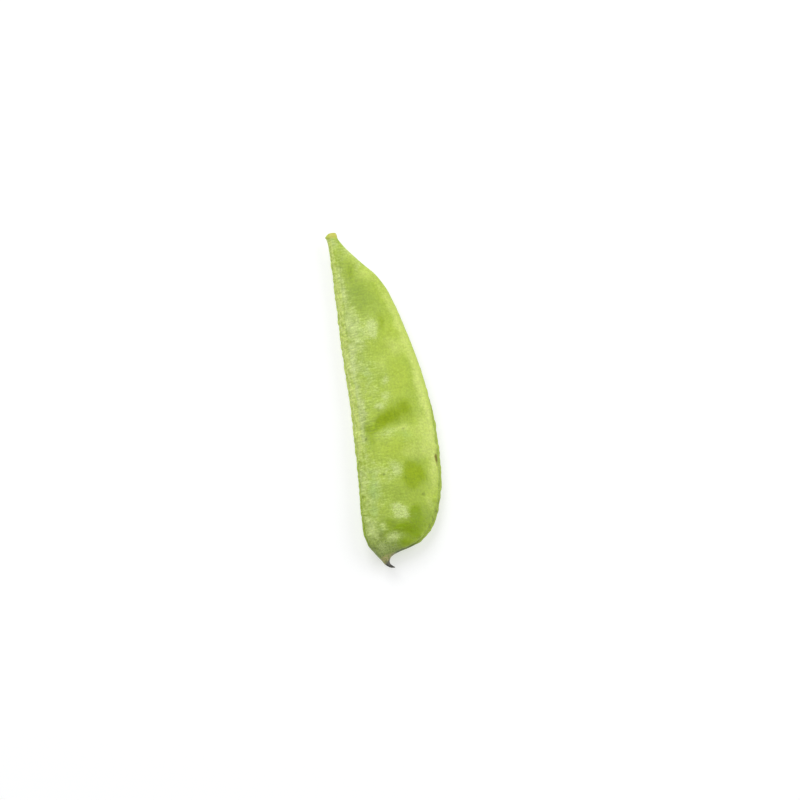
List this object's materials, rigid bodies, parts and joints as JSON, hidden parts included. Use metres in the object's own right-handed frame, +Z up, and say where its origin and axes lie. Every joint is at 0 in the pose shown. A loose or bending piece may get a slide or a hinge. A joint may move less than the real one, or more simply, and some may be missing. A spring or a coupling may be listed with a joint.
{
  "type": "flat bean pod",
  "caption": "Broad flat green bean pod, half-moon shaped, with a short stalk end, a small hooked tip, seamed margins and faint swellings over its seeds, lying on its side.",
  "frame": {"origin": "on the surface that the pod rests on, below the middle of its box", "axes": "+Y along the pod towards its stalk end and -Y towards its hooked tip, +X towards the bowed margin and -X towards the straight one, +Z up"},
  "size_m": [0.0272, 0.11, 0.0083],
  "materials": {
    "pod_skin": "satin"
  },
  "bodies": {
    "root": {"flat_bean_pod": "pod_skin"}
  },
  "joints": []
}
